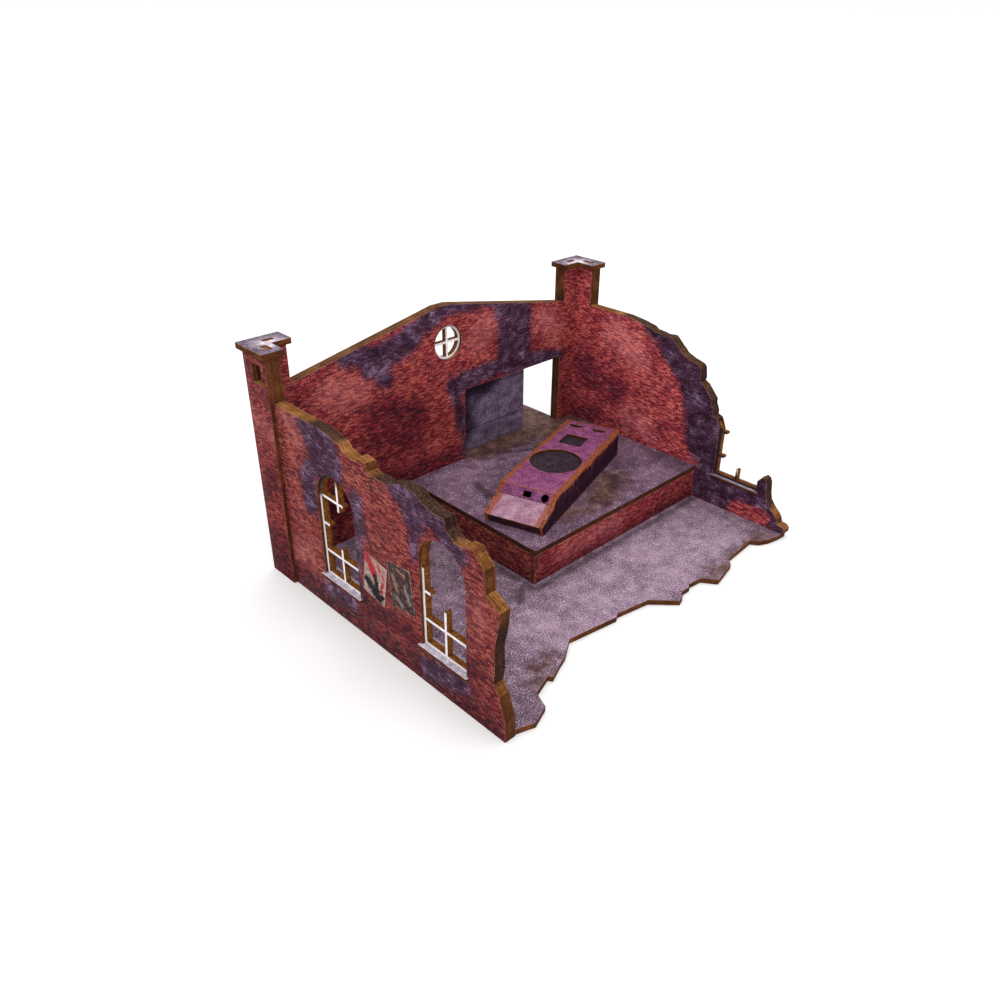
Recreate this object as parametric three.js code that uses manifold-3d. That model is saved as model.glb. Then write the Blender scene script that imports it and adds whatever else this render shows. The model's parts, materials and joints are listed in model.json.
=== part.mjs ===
// A miniature ruined brick works for 28 mm tabletop games, cut from sheet material.
// Millimetres, +Z up. X runs along the back wall, Y runs from the broken front to the back wall.
import * as THREE from 'three';
import { mergeVertices } from 'three/addons/utils/BufferGeometryUtils.js';
import Module from 'manifold-3d';

const wasm = await Module();
wasm.setup();

// ---------------------------------------------------------------------------------------------
// Driving dimensions
// ---------------------------------------------------------------------------------------------
const WIDTH = 230; // outer face of the left wall to outer face of the right wall
const BACK = 175.5; // outer face of the back wall
const SKIN = 1.5; // printed skin sheets of the walls
const CORE = 3; // core sheets of the walls
const WALL = 2 * SKIN + CORE;
const SHEET = 2; // door and pillar panel sheets
const BOARD = 3; // floor, platform, dock and cap sheets
const BACK_INNER = BACK - WALL;
const RIGHT_INNER = WIDTH - WALL;

const EAVE = 101.5; // top of the side walls where they are whole
const GABLE_FOOT = 103.5; // top of the back wall beside the pillars
const RIDGE = 121.5;
const RIDGE_FLAT = 9;

const PILLAR_TOP = 124;
const LEG_X = 19; // pillar leg along the back wall
const LEG_Y = 20; // pillar leg along the side wall
const CAP_OVERHANG = 2;
const PILLAR_FRONT = BACK + SHEET - LEG_Y;

const WINDOW_WIDTH = 29;
const SILL_THICK = 1.5;
const SILL_TOP = 21;
const OPENING_BOTTOM = SILL_TOP - SILL_THICK;
const ARCH_SPRING = 65.5;
const REAR_WINDOW = 98.5; // front jamb of the left wall's rear window
const FRONT_WINDOW = 23.5; // front jamb of the left wall's front window
const RIGHT_WINDOW = 25.7; // front jamb of the right wall's window
const RIGHT_LIFT = 1.5; // the right wall's window stands this much higher
const FRAME_HIDDEN = 2; // how far a window frame reaches in between the skins
const FRAME_GAP = 0.1; // saw gap round a window frame
const BAR = 1.4; // width of stiles and glazing bars
const BAR_ROWS = [35, 50.3, ARCH_SPRING]; // heights of the glazing bars

const ROUND_X = 118;
const ROUND_Z = 99.8;
const ROUND_R = 9.8;

const FLOOR_TOP = BOARD;
const STUMP_FOOT = 9; // in front of this line the right wall stands on a tip of the floor plate
const DECK_TOP = 23.5; // top of the platform and of the dock
const PLATFORM_X = 86;
const PLATFORM_Y = 67.5;

const DOOR_LEFT = 130; // left jamb of the doorway
const DOOR_RIGHT = 211;
const LINTEL = 68;
const DOOR_LAP = 1.5; // how far the shut door covers each jamb
const DOOR_EDGE = 185; // right edge of the half-open door at rest
const DOOR_GAP = 0.15; // running clearance of the door in its guides
const RAIL_LEFT = 44;
const DOCK_LEFT = 127;
const DOCK_RIGHT = 213;
const DOCK_DEPTH = 32;

const HULL = { width: 34, height: 16.5, plate: 1.5, gap: 0.1, turn: 18.7 };
const HULL_REAR = { x: 195.1, y: 124.9 }; // middle of the hull's rear edge
const RING_R = 14.8;

const ROUND_SEGMENTS = 14; // segments of each arc

// ---------------------------------------------------------------------------------------------
// Shapes and solids
// ---------------------------------------------------------------------------------------------
const polygon = (points) => new THREE.Shape(points.map(([x, y]) => new THREE.Vector2(x, y)));

function rectangle(x0, y0, x1, y1) {
  return polygon([[x0, y0], [x1, y0], [x1, y1], [x0, y1]]);
}

// A window opening: straight jambs under a semicircular arch, grown by `grow` on every side.
function archedOpening(front, grow = 0, lift = 0) {
  const radius = WINDOW_WIDTH / 2 + grow;
  const middle = front + WINDOW_WIDTH / 2;
  const shape = new THREE.Shape();
  shape.moveTo(middle - radius, OPENING_BOTTOM + lift - grow);
  shape.lineTo(middle + radius, OPENING_BOTTOM + lift - grow);
  shape.lineTo(middle + radius, ARCH_SPRING);
  shape.absarc(middle, ARCH_SPRING, radius, 0, Math.PI, false);
  shape.lineTo(middle - radius, OPENING_BOTTOM + lift - grow);
  return shape;
}

function disc(x, y, radius) {
  const shape = new THREE.Shape();
  shape.absarc(x, y, radius, 0, 2 * Math.PI, false);
  return shape;
}

// A closed solid made by pushing a shape from z0 up by thick, then moved by `pose` if there is one.
function prism(shape, thick, z0 = 0, pose = null) {
  const geometry = new THREE.ExtrudeGeometry(shape, {
    depth: thick, bevelEnabled: false, curveSegments: ROUND_SEGMENTS,
  });
  geometry.translate(0, 0, z0);
  if (pose) geometry.applyMatrix4(pose);
  geometry.deleteAttribute('normal');
  geometry.deleteAttribute('uv');
  const merged = mergeVertices(geometry, 1e-4);
  return new wasm.Manifold(new wasm.Mesh({
    numProp: 3,
    vertProperties: merged.attributes.position.array,
    triVerts: new Uint32Array(merged.index.array),
  }));
}

function toGeometry(solid) {
  const { vertProperties, triVerts } = solid.getMesh();
  const geometry = new THREE.BufferGeometry();
  geometry.setAttribute('position', new THREE.BufferAttribute(vertProperties, 3));
  geometry.setIndex(new THREE.BufferAttribute(triVerts, 1));
  const faceted = geometry.toNonIndexed();
  faceted.computeVertexNormals();
  return faceted;
}

// A sheet cut to `outline`, less the shapes in `cuts`.
function sheet(outline, thick, cuts = [], z0 = 0) {
  const deep = thick + 2;
  return cuts.reduce((solid, cut) => solid.subtract(prism(cut, deep, z0 - 1)), prism(outline, thick, z0));
}

// ---------------------------------------------------------------------------------------------
// Finishes and placing
// ---------------------------------------------------------------------------------------------
const finish = (color, roughness, metalness = 0) => ({ color, roughness, metalness });
const FINISH = {
  brick: finish(0x8c2f36, 0.75),
  board: finish(0x9a5a24, 0.8),
  paint: finish(0xe9e2d8, 0.6),
  sill: finish(0xb9b3b8, 0.7),
  stone: finish(0x75677c, 0.8),
  cap: finish(0x8f869e, 0.7),
  door: finish(0x4d4660, 0.7),
  poster: finish(0xb8a58c, 0.7),
  hull: finish(0x7e3a6c, 0.65),
  dark: finish(0x2f2a33, 0.8),
};

function part(name, solid, look) {
  const mesh = new THREE.Mesh(toGeometry(solid), new THREE.MeshStandardMaterial(FINISH[look]));
  mesh.name = name;
  return mesh;
}

// A group whose own x and y lie in an upright plane: z of the group is the sheet's thickness.
const UPRIGHT = {
  alongY: new THREE.Euler(Math.PI / 2, Math.PI / 2, 0), // own x is +Y, own y is +Z, own z is +X
  alongX: new THREE.Euler(Math.PI / 2, 0, 0), // own x is +X, own y is +Z, own z is -Y
};

function placed(children, position, rotation = new THREE.Euler()) {
  const group = new THREE.Group();
  group.position.set(...position);
  group.rotation.copy(rotation);
  group.add(...children);
  return group;
}

// ---------------------------------------------------------------------------------------------
// Walls: three sheets each, cut to the same broken outline
// ---------------------------------------------------------------------------------------------
// Broken top and front edge of the left wall, from the pillar forward and down, as [y, z].
const LEFT_BREAK = [
  [121.5, EAVE], [112.5, 101], [109, 99.5], [105.5, 99], [103, 96.5], [96.5, 95], [91.5, 95.5],
  [92.5, 97.5], [86.5, 97], [85, 93.5], [83, 92.5], [75.5, 93], [72, 92.5], [70, 94],
  [63, 96.5], [53, 96.5], [50.5, 94], [41, 92], [35.5, 92.5], [34.5, 88], [29.5, 84],
  [25, 84], [24, 85.5], [19, 86], [17.5, 84], [12.5, 79.5], [12, 68.5], [4, 64], [4.5, 57],
  [7, 44], [6.5, 33], [7.5, 27], [4, 22], [0.5, 11.5], [0, 0],
];
// Broken top of the right wall, from the pillar forward and down to the window.
const RIGHT_BREAK = [
  [128, EAVE], [118.5, 100.5], [110, 99], [108, 97.5], [102, 97], [100, 96.5], [96, 97],
  [94, 97], [89, 92.5], [87, 91], [85, 89], [79.5, 87], [73.5, 85.5], [72, 84], [71, 78],
  [71.5, 76], [68.5, 74.5], [62, 67.5], [62, 65], [60, 61], [60, 58.5], [57, 57.5],
];
// Where the break meets the window's rear and front jambs, and how steeply it passes them.
const JAMB_BREAK = { rear: 52.5, rearSlope: 1.43, front: 29.5, frontSlope: 1.25 };
// Stump of the right wall in front of its window, from the window to the floor plate it stands on.
const RIGHT_STUMP = [
  [22.8, 32.6], [20.9, 31.8], [19.6, 29.5], [18.8, 22.5], [17.8, 18.8], [15.2, 15.5], [12, 12.7],
  [10.2, 10.4], [9.2, 7.6], [6, 7.2], [4.4, 5.6], [4.6, FLOOR_TOP + 0.1],
  [STUMP_FOOT + 0.1, FLOOR_TOP + 0.1], [STUMP_FOOT + 0.1, 0],
];

const wallRise = (eave) => [[BACK, 0], [BACK, PILLAR_TOP], [PILLAR_FRONT, PILLAR_TOP], [PILLAR_FRONT, eave]];

function leftWallOutline() {
  return polygon([...wallRise(EAVE), ...LEFT_BREAK]);
}

// The right wall's window has lost its arch, so its opening (grown by `grow`) notches the outline.
function rightWallOutline(grow = 0) {
  const { rear, rearSlope, front, frontSlope } = JAMB_BREAK;
  const [far, near] = [RIGHT_WINDOW + WINDOW_WIDTH + grow, RIGHT_WINDOW - grow];
  const bottom = OPENING_BOTTOM + RIGHT_LIFT - grow;
  return polygon([
    ...wallRise(EAVE), ...RIGHT_BREAK, [far, rear + grow * rearSlope], [far, bottom],
    [near, bottom], [near, front + grow * frontSlope], ...RIGHT_STUMP,
  ]);
}

function backWallOutline() {
  const middle = WIDTH / 2;
  const [left, right] = [WALL, RIGHT_INNER];
  const legs = [LEG_X - SHEET, WIDTH + SHEET - LEG_X];
  return polygon([
    [left, 0], [right, 0], [right, PILLAR_TOP], [legs[1], PILLAR_TOP], [legs[1], GABLE_FOOT],
    [middle + RIDGE_FLAT / 2, RIDGE], [middle - RIDGE_FLAT / 2, RIDGE],
    [legs[0], GABLE_FOOT], [legs[0], PILLAR_TOP], [left, PILLAR_TOP],
  ]);
}

// Tabs of the core sheets that come up through the slots of the pillar caps.
const TAB = { rise: 2.5, sideFrom: 160, sideTo: 166.5, backFrom: 6.5, backTo: 12 };
const sideTab = () => rectangle(TAB.sideFrom, PILLAR_TOP - 1, TAB.sideTo, PILLAR_TOP + TAB.rise);
const backTab = (mirror) => (mirror
  ? rectangle(WIDTH - TAB.backTo, PILLAR_TOP - 1, WIDTH - TAB.backFrom, PILLAR_TOP + TAB.rise)
  : rectangle(TAB.backFrom, PILLAR_TOP - 1, TAB.backTo, PILLAR_TOP + TAB.rise));

// Broken-out corner in the skin behind the hole of the left pillar's side panel.
const PILLAR_HOLE = { y0: 160, y1: 170.5, z0: 109.5, z1: 119 };
const skinChip = () => polygon([
  [PILLAR_HOLE.y0, PILLAR_HOLE.z0], [PILLAR_HOLE.y1, PILLAR_HOLE.z0], [PILLAR_HOLE.y1, PILLAR_HOLE.z1],
  [166, PILLAR_HOLE.z1], [166, 111], [PILLAR_HOLE.y0, 111],
]);

function leftWall() {
  const openings = (grow) => [archedOpening(REAR_WINDOW, grow), archedOpening(FRONT_WINDOW, grow)];
  const skin = (cuts, z0) => sheet(leftWallOutline(), SKIN, cuts, z0);
  const core = sheet(leftWallOutline(), CORE, openings(FRAME_HIDDEN + FRAME_GAP), SKIN)
    .add(prism(sideTab(), CORE, SKIN));
  return placed([
    part('left_wall_outer_skin', skin([...openings(0), skinChip()], 0), 'brick'),
    part('left_wall_core', core, 'board'),
    part('left_wall_inner_skin', skin(openings(0), SKIN + CORE), 'brick'),
    ...leftWindows(),
  ], [0, 0, 0], UPRIGHT.alongY);
}

function rightWall() {
  const core = sheet(rightWallOutline(FRAME_HIDDEN + FRAME_GAP), CORE, [], SKIN)
    .add(prism(sideTab(), CORE, SKIN));
  return placed([
    part('right_wall_inner_skin', sheet(rightWallOutline(), SKIN), 'brick'),
    part('right_wall_core', core, 'board'),
    part('right_wall_outer_skin', sheet(rightWallOutline(), SKIN, [], SKIN + CORE), 'brick'),
    ...rightWindow(),
  ], [RIGHT_INNER, 0, 0], UPRIGHT.alongY);
}

function backWall() {
  const doorway = rectangle(DOOR_LEFT, DECK_TOP - BOARD, DOOR_RIGHT, LINTEL);
  const cuts = (grow) => [doorway, disc(ROUND_X, ROUND_Z, ROUND_R + grow)];
  const skin = (z0) => sheet(backWallOutline(), SKIN, cuts(0), z0);
  const core = sheet(backWallOutline(), CORE, cuts(FRAME_HIDDEN + FRAME_GAP), SKIN)
    .add(prism(backTab(false), CORE, SKIN)).add(prism(backTab(true), CORE, SKIN));
  return placed([
    part('back_wall_outer_skin', skin(0), 'brick'),
    part('back_wall_core', core, 'board'),
    part('back_wall_inner_skin', skin(SKIN + CORE), 'brick'),
    part('round_window_frame', roundFrame(), 'paint'),
  ], [0, BACK, 0], UPRIGHT.alongX);
}

// ---------------------------------------------------------------------------------------------
// Windows: frames held between the skins, sills below them
// ---------------------------------------------------------------------------------------------
// A frame is its hidden rim plus the bars still standing, each [y0, z0, y1, z1].
function frame(front, rim, bars, lift = 0) {
  const opening = prism(archedOpening(front, 0, lift), CORE + 2, SKIN - 1);
  const hidden = rim.subtract(opening);
  const standing = bars.map((box) => prism(rectangle(...box), CORE, SKIN));
  const whole = prism(archedOpening(front, FRAME_HIDDEN), CORE, SKIN);
  return standing.reduce((solid, bar) => solid.add(bar.intersect(whole)), hidden);
}

// Bars named by where they run; `front` is the front jamb, a row is the bar's middle height.
const stile = (front, side, z0, z1) => (side === 'rear'
  ? [front + WINDOW_WIDTH - BAR, z0, front + WINDOW_WIDTH + 1, z1]
  : [front - 1, z0, front + BAR, z1]);
const crossBar = (y0, y1, row) => [y0, row - BAR / 2, y1, row + BAR / 2];
const uprightBar = (front, z0, z1) => [
  front + (WINDOW_WIDTH - BAR) / 2, z0, front + (WINDOW_WIDTH + BAR) / 2, z1,
];
const bottomRail = (front, lift = 0) => [
  front - 1, OPENING_BOTTOM + lift - 1, front + WINDOW_WIDTH + 1, SILL_TOP + lift + BAR,
];

function rearWindowFrame() {
  const front = REAR_WINDOW;
  const rear = front + WINDOW_WIDTH;
  const rim = prism(archedOpening(front, FRAME_HIDDEN), CORE, SKIN);
  const arch = prism(archedOpening(front, FRAME_HIDDEN), CORE, SKIN)
    .subtract(prism(archedOpening(front, -BAR), CORE + 2, SKIN - 1))
    .intersect(prism(rectangle(front - 3, 57, rear + 3, 90), CORE, SKIN));
  const bars = [
    stile(front, 'rear', OPENING_BOTTOM, ARCH_SPRING + 4), stile(front, 'front', OPENING_BOTTOM, 37.5),
    bottomRail(front), crossBar(front - 1, rear + 1, BAR_ROWS[0]), crossBar(121.7, rear + 1, BAR_ROWS[1]),
    crossBar(109, rear + 1, BAR_ROWS[2]), uprightBar(front, OPENING_BOTTOM, 40.5),
    uprightBar(front, 61, 82),
  ];
  return frame(front, rim, bars).add(arch);
}

function frontWindowFrame() {
  const front = FRONT_WINDOW;
  const rear = front + WINDOW_WIDTH;
  const rim = prism(archedOpening(front, FRAME_HIDDEN), CORE, SKIN);
  return frame(front, rim, [
    stile(front, 'rear', OPENING_BOTTOM, 61), stile(front, 'front', OPENING_BOTTOM, BAR_ROWS[0] + 1),
    bottomRail(front), crossBar(front - 1, rear + 1, BAR_ROWS[0]),
    crossBar(47.4, rear + 1, BAR_ROWS[1] - 0.8),
    uprightBar(front, OPENING_BOTTOM, 45.2),
  ]);
}

function rightWindowFrame() {
  const front = RIGHT_WINDOW;
  const rear = front + WINDOW_WIDTH;
  const reach = 6;
  // Everything above the broken edge of the wall is gone from the hidden rim.
  const gone = polygon([
    [front - reach, JAMB_BREAK.front + reach * JAMB_BREAK.frontSlope], [front, JAMB_BREAK.front],
    [rear, JAMB_BREAK.front], [rear, JAMB_BREAK.rear],
    [rear + reach, JAMB_BREAK.rear + reach * JAMB_BREAK.rearSlope], [rear + reach, 95], [front - reach, 95],
  ]);
  const rim = prism(archedOpening(front, FRAME_HIDDEN, RIGHT_LIFT), CORE, SKIN)
    .subtract(prism(gone, CORE + 2, SKIN - 1));
  return frame(front, rim, [
    [rear - BAR, OPENING_BOTTOM + RIGHT_LIFT, rear + 0.2, 52.5], bottomRail(front, RIGHT_LIFT),
    crossBar(rear - 4.5, rear, BAR_ROWS[1]), crossBar(rear - 4.5, rear, BAR_ROWS[0]),
    uprightBar(front, OPENING_BOTTOM + RIGHT_LIFT, 30.5),
  ], RIGHT_LIFT);
}

function roundFrame() {
  const ring = sheet(disc(ROUND_X, ROUND_Z, ROUND_R + FRAME_HIDDEN), CORE,
    [disc(ROUND_X, ROUND_Z, ROUND_R - 1.3)], SKIN);
  const level = rectangle(ROUND_X - ROUND_R, ROUND_Z - BAR / 2, ROUND_X + ROUND_R, ROUND_Z + BAR / 2);
  const upright = rectangle(ROUND_X - BAR / 2, ROUND_Z - ROUND_R, ROUND_X + BAR / 2, ROUND_Z + ROUND_R);
  return ring.add(prism(level, CORE, SKIN)).add(prism(upright, CORE, SKIN));
}

const SILL_EAR = 1.5;
const SILL_REACH = { outer: 1.6, inner: 0.9 };

// A T-shaped sill: the tongue fills the skin's opening, the lip stands proud of the wall.
// `depth` runs away from the frame.
function sill(name, front, depth, reach, away, lift = 0) {
  const lip = depth + reach;
  const [a, b] = [front, front + WINDOW_WIDTH];
  const tee = polygon([
    [a, 0], [b, 0], [b, depth], [b + SILL_EAR, depth], [b + SILL_EAR, lip],
    [a - SILL_EAR, lip], [a - SILL_EAR, depth], [a, depth],
  ]);
  const mesh = part(name, prism(tee, SILL_THICK), 'sill');
  // The tee lies in a level plane: its own y points away from the frame, along the wall's thickness.
  mesh.rotation.x = away > 0 ? Math.PI / 2 : -Math.PI / 2;
  mesh.position.set(0, (away > 0 ? SILL_TOP : OPENING_BOTTOM) + lift, away > 0 ? SKIN + CORE : SKIN);
  return mesh;
}

function leftWindows() {
  return [
    part('left_rear_window_frame', rearWindowFrame(), 'paint'),
    part('left_front_window_frame', frontWindowFrame(), 'paint'),
    sill('left_rear_window_outer_sill', REAR_WINDOW, SKIN, SILL_REACH.outer, -1),
    sill('left_rear_window_inner_sill', REAR_WINDOW, SKIN, SILL_REACH.inner, 1),
    sill('left_front_window_outer_sill', FRONT_WINDOW, SKIN, SILL_REACH.outer, -1),
    sill('left_front_window_inner_sill', FRONT_WINDOW, SKIN, SILL_REACH.inner, 1),
  ];
}

function rightWindow() {
  return [
    part('right_window_frame', rightWindowFrame(), 'paint'),
    sill('right_window_inner_sill', RIGHT_WINDOW, SKIN, SILL_REACH.inner, -1, RIGHT_LIFT),
    sill('right_window_outer_sill', RIGHT_WINDOW, SKIN, SILL_REACH.outer, 1, RIGHT_LIFT),
  ];
}

// ---------------------------------------------------------------------------------------------
// Corner pillars
// ---------------------------------------------------------------------------------------------
// The cap of the left pillar; the right one is its mirror image.
function capShape(mirror) {
  const outer = -SHEET - CAP_OVERHANG;
  const back = BACK + SHEET + CAP_OVERHANG;
  const legs = [LEG_X - SHEET + CAP_OVERHANG, PILLAR_FRONT - CAP_OVERHANG];
  const elbow = [WALL + CAP_OVERHANG, BACK_INNER - CAP_OVERHANG];
  const gap = 0.1;
  const slotY = [SKIN - gap, TAB.sideFrom - gap, SKIN + CORE + gap, TAB.sideTo + gap];
  const slotX = [TAB.backFrom - gap, BACK_INNER + SKIN - gap, TAB.backTo + gap, BACK - SKIN + gap];
  const flip = ([x, y]) => (mirror ? [WIDTH - x, y] : [x, y]);
  const flipSlot = ([x0, y0, x1, y1]) => (mirror
    ? rectangle(WIDTH - x1, y0, WIDTH - x0, y1) : rectangle(x0, y0, x1, y1));
  const outline = [
    [outer, back], [outer, legs[1]], [elbow[0], legs[1]], elbow, [legs[0], elbow[1]], [legs[0], back],
  ].map(flip);
  return sheet(polygon(mirror ? outline.reverse() : outline), BOARD, [slotY, slotX].map(flipSlot));
}

function pillars() {
  const side = rectangle(PILLAR_FRONT, 0, BACK + SHEET, PILLAR_TOP);
  const { y0, y1, z0, z1 } = PILLAR_HOLE;
  const backLength = LEG_X - SHEET;
  const back = () => prism(rectangle(0, 0, backLength, PILLAR_TOP), SHEET);
  return [
    placed([part('left_pillar_side_panel', sheet(side, SHEET, [rectangle(y0, z0, y1, z1)]), 'brick')],
      [-SHEET, 0, 0], UPRIGHT.alongY),
    placed([part('right_pillar_side_panel', sheet(side, SHEET), 'brick')], [WIDTH, 0, 0], UPRIGHT.alongY),
    placed([part('left_pillar_back_panel', back(), 'brick')], [0, BACK + SHEET, 0], UPRIGHT.alongX),
    placed([part('right_pillar_back_panel', back(), 'brick')],
      [WIDTH - backLength, BACK + SHEET, 0], UPRIGHT.alongX),
    placed([part('left_pillar_cap', capShape(false), 'cap'), part('right_pillar_cap', capShape(true), 'cap')],
      [0, 0, PILLAR_TOP]),
  ];
}

// ---------------------------------------------------------------------------------------------
// Floor, loading platform and dock
// ---------------------------------------------------------------------------------------------
// Ragged front edge of the floor plate from the right wall to the left wall, as [x, y].
const FLOOR_BREAK = [
  [RIGHT_INNER, STUMP_FOOT], [WIDTH, STUMP_FOOT], [WIDTH, 6.5], [227.6, 5.2], [220.5, 5.8], [214, 7.2],
  [208.5, 9.8], [205.5, 14], [180.5, 12], [177, 8], [159.5, 4],
  [154, 11.5], [144.5, 12.5], [143.5, 11], [136.5, 11], [134, 8.5], [130, 7], [118.5, 18.5],
  [98.5, 22], [96, 20.5], [66.5, 25], [56, 18], [50.5, 16], [41.5, 12], [40, 14], [29, 10],
  [27.5, 7], [25.5, 1.5], [15.5, -2.5], [9.5, -0.5], [WALL, 0.5],
];

function floorPlate() {
  const outline = [[WALL, BACK_INNER], ...FLOOR_BREAK.slice().reverse(), [RIGHT_INNER, BACK_INNER]];
  return part('floor_plate', prism(polygon(outline), FLOOR_TOP), 'stone');
}

// The platform's front and side panels meet in a finger joint at the free corner.
function platform() {
  const under = DECK_TOP - BOARD;
  const tall = under - FLOOR_TOP;
  const long = RIGHT_INNER - PLATFORM_X;
  const deep = BACK_INNER - PLATFORM_Y;
  const finger = tall / 2;
  const top = polygon([
    [PLATFORM_X, PLATFORM_Y], [RIGHT_INNER, PLATFORM_Y], [RIGHT_INNER, BACK_INNER],
    [DOOR_RIGHT, BACK_INNER], [DOOR_RIGHT, BACK], [DOOR_LEFT, BACK], [DOOR_LEFT, BACK_INNER],
    [PLATFORM_X, BACK_INNER],
  ]);
  const front = polygon([[0, 0], [long, 0], [long, tall], [BOARD, tall], [BOARD, finger], [0, finger]]);
  const side = polygon([[BOARD, 0], [deep, 0], [deep, tall], [0, tall], [0, finger], [BOARD, finger]]);
  // Two ribs under the top, halved into each other.
  const halving = { at: [67.5, 52.5], play: 0.1 };
  const slot = (middle, z0, z1) => rectangle(
    middle - BOARD / 2 - halving.play, z0, middle + BOARD / 2 + halving.play, z1);
  const longRib = sheet(rectangle(BOARD, 0, long, tall), BOARD, [slot(halving.at[0], finger, tall + 1)]);
  const crossRib = sheet(rectangle(BOARD, 0, deep, tall), BOARD,
    [slot(halving.at[1], -1, finger + halving.play)]);
  return [
    placed([part('platform_top', prism(top, BOARD), 'stone')], [0, 0, under]),
    placed([part('platform_front_panel', prism(front, BOARD), 'brick')],
      [PLATFORM_X, PLATFORM_Y + BOARD, FLOOR_TOP], UPRIGHT.alongX),
    placed([part('platform_side_panel', prism(side, BOARD), 'brick')],
      [PLATFORM_X, PLATFORM_Y, FLOOR_TOP], UPRIGHT.alongY),
    placed([part('platform_long_rib', longRib, 'board')],
      [PLATFORM_X, PLATFORM_Y + halving.at[1] + BOARD / 2, FLOOR_TOP], UPRIGHT.alongX),
    placed([part('platform_cross_rib', crossRib, 'board')],
      [PLATFORM_X + halving.at[0] - BOARD / 2, PLATFORM_Y, FLOOR_TOP], UPRIGHT.alongY),
  ];
}

function dock() {
  const under = DECK_TOP - BOARD;
  const outer = BACK + DOCK_DEPTH;
  const top = rectangle(DOCK_LEFT, BACK, DOCK_RIGHT, outer);
  const end = () => prism(rectangle(BACK, 0, outer - BOARD, under), BOARD);
  return [
    placed([part('dock_top', prism(top, BOARD), 'stone')], [0, 0, under]),
    placed([part('dock_outer_panel', prism(rectangle(DOCK_LEFT, 0, DOCK_RIGHT, under), BOARD), 'brick')],
      [0, outer, 0], UPRIGHT.alongX),
    placed([part('dock_left_panel', end(), 'brick')], [DOCK_LEFT, 0, 0], UPRIGHT.alongY),
    placed([part('dock_right_panel', end(), 'brick')], [DOCK_RIGHT - BOARD, 0, 0], UPRIGHT.alongY),
  ];
}

// ---------------------------------------------------------------------------------------------
// Sliding door and its guides on the outside of the back wall
// ---------------------------------------------------------------------------------------------
function door() {
  const width = DOOR_RIGHT - DOOR_LEFT + 2 * DOOR_LAP;
  const foot = DECK_TOP + 2 * DOOR_GAP;
  const head = LINTEL + 4;
  const channel = SHEET + 3 * DOOR_GAP; // from the wall to the guides
  const railRight = DOCK_RIGHT - 0.5;
  const railTop = head + 3.3;
  const inGuide = 2.7; // how much of the door the guides hold
  const stop = 2.5; // width of the stop at the open end of the rail
  const strip = (name, shape, thick, near) => placed(
    [part(name, prism(shape, thick), 'board')], [0, BACK + near + thick, 0], UPRIGHT.alongX);
  // The spacer turns down at its left end and stops the door there.
  const spacer = polygon([
    [RAIL_LEFT - stop, head - 6], [RAIL_LEFT, head - 6], [RAIL_LEFT, head + 2 * DOOR_GAP],
    [railRight, head + 2 * DOOR_GAP], [railRight, railTop], [RAIL_LEFT - stop, railTop],
  ]);
  return [
    placed([part('sliding_door', prism(rectangle(DOOR_EDGE - width, foot, DOOR_EDGE, head), SHEET), 'door')],
      [0, BACK + DOOR_GAP + SHEET, 0], UPRIGHT.alongX),
    strip('door_rail_spacer', spacer, channel, 0),
    strip('door_rail_cover', rectangle(RAIL_LEFT - stop, head - inGuide, railRight, railTop), SKIN, channel),
    strip('door_lower_ledge', rectangle(RAIL_LEFT, DECK_TOP - BOARD, DOCK_LEFT, DECK_TOP), channel + SKIN, 0),
    strip('door_lower_guide', rectangle(RAIL_LEFT, DECK_TOP, DOCK_LEFT + 6, DECK_TOP + BOARD), SKIN, channel),
  ];
}

// ---------------------------------------------------------------------------------------------
// Posters pasted crookedly on the left wall
// ---------------------------------------------------------------------------------------------
function posters() {
  const paper = 0.3;
  const poster = (name, y, z, width, height, lean) => {
    const outline = rectangle(-width / 2, -height / 2, width / 2, height / 2);
    const mesh = part(name, prism(outline, paper), 'poster');
    mesh.position.set(y, z, -paper);
    mesh.rotation.z = THREE.MathUtils.degToRad(lean);
    return mesh;
  };
  return placed([
    poster('rear_poster', 85, 38.9, 16.2, 22.6, 9.5),
    poster('front_poster', 65.6, 43.9, 16.4, 23, -6.5),
  ], [0, 0, 0], UPRIGHT.alongY);
}

// ---------------------------------------------------------------------------------------------
// Wreck of an armoured hull, lying loose on the platform
// ---------------------------------------------------------------------------------------------
// The hull lies in its own frame: x forward from the rear edge, y to its left, z up.
// Outline of its side panels as [forward, up].
const HULL_PROFILE = {
  keel: [107, 0], nose: [110, 6.5], knee: [95, 12], brow: [91, HULL.height],
};
const AXIS = { x: new THREE.Vector3(1, 0, 0), y: new THREE.Vector3(0, 1, 0), z: new THREE.Vector3(0, 0, 1) };

// A bar of the given side outline running across the hull from y0 to y1.
function crosswise(points, y0, y1) {
  const pose = new THREE.Matrix4().makeBasis(AXIS.x, AXIS.z, AXIS.y.clone().negate());
  return prism(polygon(points), y1 - y0, -y1, pose);
}

// Frame of a leaning plate: own x across the hull, own y up the slope from foot to head, own z outwards.
function slopeFrame(foot, head) {
  const up = new THREE.Vector3(head[0] - foot[0], 0, head[1] - foot[1]).normalize();
  return new THREE.Matrix4().makeBasis(AXIS.y, up, AXIS.y.clone().cross(up)).setPosition(foot[0], 0, foot[1]);
}

// An air slot behind the turret: straight towards the rear, bulging forwards between y0 and y1.
function airSlot(y0, y1) {
  const shape = new THREE.Shape();
  shape.moveTo(5, y0);
  shape.bezierCurveTo(9.6, y0 + 0.8, 9.6, y1 - 0.8, 5, y1);
  shape.lineTo(5, y0);
  return shape;
}

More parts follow.
